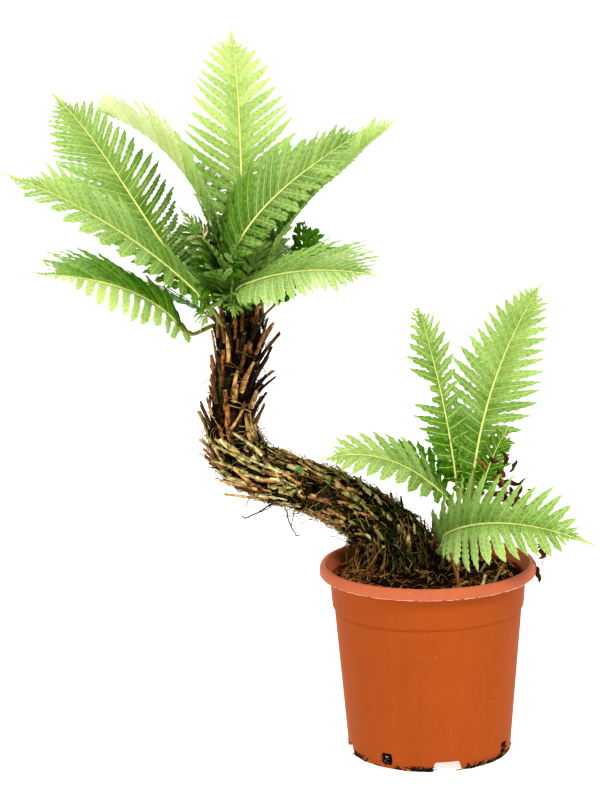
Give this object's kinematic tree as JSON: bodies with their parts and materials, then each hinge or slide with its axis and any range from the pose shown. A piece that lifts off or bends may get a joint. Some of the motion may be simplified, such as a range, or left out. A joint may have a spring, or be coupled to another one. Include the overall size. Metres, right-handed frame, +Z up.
{
  "type": "potted tree fern",
  "caption": "Silver lady fern with a leaning, bent trunk, a crown of arching fronds and a young plant beside its foot, in a round nursery pot filled with soil.",
  "frame": {"origin": "centre of the flat underside of the pot, on the ground", "axes": "+Z up, +X to the right in the picture, -Y towards the viewer"},
  "size_m": [0.618, 0.4618, 0.7982],
  "materials": {
    "terracotta_plastic": "matt moulded plastic with a satin lip",
    "potting_soil": "rough, fibrous and dry on top",
    "fibrous_bark": "rough, covered with cut leaf bases and fine roots",
    "young_frond": "soft satin leaf, light yellow-green",
    "mature_frond": "satin leaf, mid green and finely puckered",
    "shaded_frond": "satin leaf, dark green",
    "dead_frond": "matt, dry and curled"
  },
  "bodies": {
    "root": {"pot": "terracotta_plastic", "soil": "potting_soil", "trunk_arm": "fibrous_bark", "trunk_neck": "fibrous_bark", "pup_stem": "fibrous_bark", "crown_frond_front_right": "mature_frond", "crown_frond_low_right": "mature_frond", "crown_frond_middle_left": "mature_frond", "crown_frond_low_left": "mature_frond", "crown_frond_upright": "young_frond", "crown_frond_right": "young_frond", "crown_frond_arching_left": "young_frond", "crown_frond_high_left": "mature_frond", "crown_frond_back": "mature_frond", "crown_frond_back_left": "mature_frond", "crown_frond_low_back_left": "shaded_frond", "crown_frond_low_back_right": "shaded_frond", "crown_frond_small": "shaded_frond", "pup_frond_tall_right": "young_frond", "pup_frond_over_rim": "mature_frond", "pup_frond_tall_left": "young_frond", "pup_frond_arching_left": "mature_frond", "pup_frond_short_left": "shaded_frond", "pup_frond_short_right": "shaded_frond", "pup_frond_back": "mature_frond", "pup_frond_dead": "dead_frond"}
  },
  "joints": []
}
